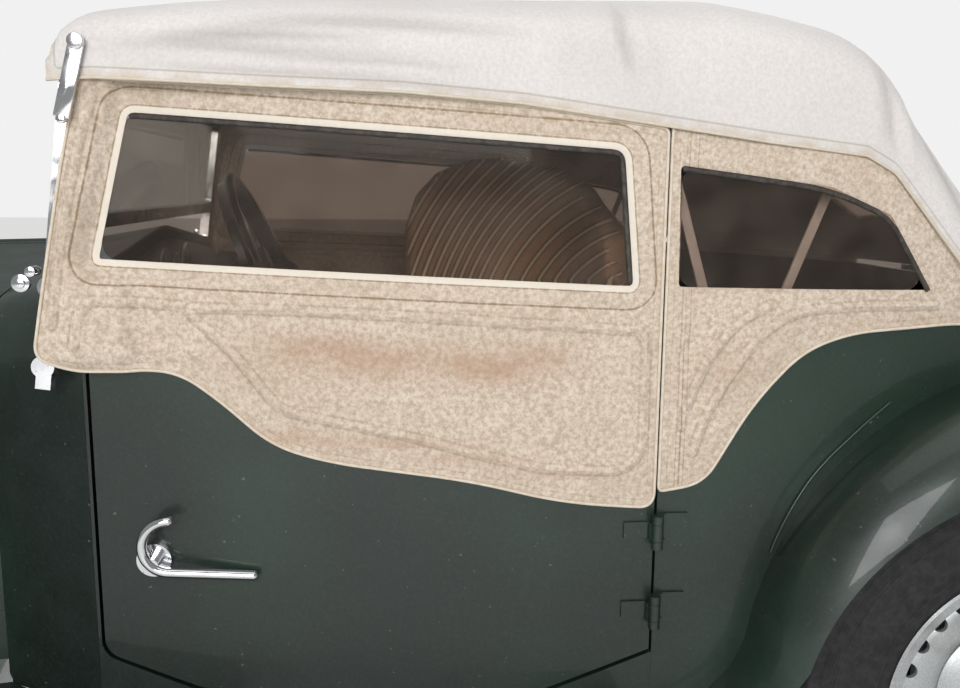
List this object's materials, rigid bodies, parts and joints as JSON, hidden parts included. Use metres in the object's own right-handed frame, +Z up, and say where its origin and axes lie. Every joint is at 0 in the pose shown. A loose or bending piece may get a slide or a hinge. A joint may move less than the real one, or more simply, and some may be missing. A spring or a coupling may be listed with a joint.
{
  "type": "open two-seat roadster",
  "caption": "Green open two-seat sports car with separate wings, running boards, raised canvas hood and side curtains, pierced disc wheels and a tail-mounted spare.",
  "frame": {"origin": "on the ground under the middle of the car", "axes": "+X forward, +Y to the car's left, +Z up"},
  "size_m": [3.683, 1.489, 1.3639],
  "materials": {
    "body_paint": "gloss",
    "chassis_paint": "satin",
    "chrome": "gloss",
    "rubber": "matte",
    "wheel_paint": "satin",
    "glass": "gloss",
    "lens": "gloss",
    "vinyl": "gloss",
    "hood_cloth": "matte",
    "curtain_cloth": "matte",
    "seat_leather": "satin",
    "cast_iron": "matte",
    "steel": "satin",
    "frame_paint": "satin",
    "dash_wood": "satin",
    "wheel_rim_plastic": "gloss"
  },
  "bodies": {
    "body": {"chassis_frame": "chassis_paint", "floor_pan": "chassis_paint", "scuttle": "body_paint", "rear_tub": "body_paint", "sills": "body_paint", "engine_block": "cast_iron", "radiator_shell": "chrome", "grille_slats": "body_paint", "front_wings": "body_paint", "rear_wings": "body_paint", "running_boards": "body_paint", "valances": "body_paint", "headlamps": "chrome", "lamp_lenses": "lens", "side_lamps": "chrome", "front_bumper": "chrome", "rear_bumper": "chrome", "fuel_tank": "body_paint", "spare_wheel": "wheel_paint", "spare_tyre": "rubber", "spare_carrier": "chassis_paint", "windscreen_frame": "chrome", "windscreen_glass": "glass", "dash_panel": "dash_wood", "seat_cushions": "seat_leather", "seat_back": "seat_leather", "hood_canopy": "hood_cloth", "hood_window": "vinyl", "hood_frame": "frame_paint", "rear_curtain_left": "curtain_cloth", "rear_curtain_right": "curtain_cloth", "rear_curtain_pane_left": "vinyl", "rear_curtain_pane_right": "vinyl", "front_suspension": "chassis_paint", "rear_axle": "chassis_paint", "exhaust": "steel", "steering_column": "chassis_paint"},
    "left_door": {"door_left": "body_paint", "front_curtain_left": "curtain_cloth", "front_curtain_pane_left": "vinyl", "door_handle_left": "chrome"},
    "right_door": {"door_right": "body_paint", "front_curtain_right": "curtain_cloth", "front_curtain_pane_right": "vinyl", "door_handle_right": "chrome"},
    "left_bonnet": {"bonnet_left": "body_paint"},
    "right_bonnet": {"bonnet_right": "body_paint"},
    "left_knuckle": {"knuckle_left": "chassis_paint"},
    "right_knuckle": {"knuckle_right": "chassis_paint"},
    "steering": {"steering_wheel": "wheel_rim_plastic"},
    "front_left": {"wheel_front_left": "wheel_paint", "tyre_front_left": "rubber"},
    "front_right": {"wheel_front_right": "wheel_paint", "tyre_front_right": "rubber"},
    "rear_left": {"wheel_rear_left": "wheel_paint", "tyre_rear_left": "rubber"},
    "rear_right": {"wheel_rear_right": "wheel_paint", "tyre_rear_right": "rubber"}
  },
  "joints": [
    {"name": "door_left", "type": "hinge", "parent": "body", "child": "left_door", "pos_m": [-0.5, 0.626, 0.525], "axis": [0, 0, 1], "range_deg": [0, 65]},
    {"name": "door_right", "type": "hinge", "parent": "body", "child": "right_door", "pos_m": [-0.5, -0.626, 0.525], "axis": [0, 0, -1], "range_deg": [0, 65]},
    {"name": "bonnet_left", "type": "hinge", "parent": "body", "child": "left_bonnet", "pos_m": [0.467, 0, 0.958], "axis": [0.9997, 0, -0.0251], "range_deg": [0, 55]},
    {"name": "bonnet_right", "type": "hinge", "parent": "body", "child": "right_bonnet", "pos_m": [0.467, 0, 0.958], "axis": [-0.9997, 0, 0.0251], "range_deg": [0, 55]},
    {"name": "steer_left", "type": "hinge", "parent": "body", "child": "left_knuckle", "pos_m": [1.358, 0.545, 0.332], "axis": [0, 0, 1], "range_deg": [-26, 26]},
    {"name": "steer_right", "type": "hinge", "parent": "body", "child": "right_knuckle", "pos_m": [1.358, -0.545, 0.332], "axis": [0, 0, 1], "range_deg": [-26, 26]},
    {"name": "steering_wheel", "type": "hinge", "parent": "body", "child": "steering", "pos_m": [0.14, -0.285, 0.905], "axis": [-0.9205, 0, 0.3907], "range_deg": [-480, 480]},
    {"name": "wheel_front_left", "type": "hinge", "parent": "left_knuckle", "child": "front_left", "pos_m": [1.358, 0.6015, 0.332], "axis": [0, 1, 0], "continuous": true},
    {"name": "wheel_front_right", "type": "hinge", "parent": "right_knuckle", "child": "front_right", "pos_m": [1.358, -0.6015, 0.332], "axis": [0, 1, 0], "continuous": true},
    {"name": "wheel_rear_left", "type": "hinge", "parent": "body", "child": "rear_left", "pos_m": [-1.03, 0.635, 0.332], "axis": [0, 1, 0], "continuous": true},
    {"name": "wheel_rear_right", "type": "hinge", "parent": "body", "child": "rear_right", "pos_m": [-1.03, -0.635, 0.332], "axis": [0, 1, 0], "continuous": true}
  ],
  "couplings": [
    {"joint": "steer_right", "follows": "steer_left", "ratio": 1},
    {"joint": "steering_wheel", "follows": "steer_left", "ratio": 18}
  ]
}
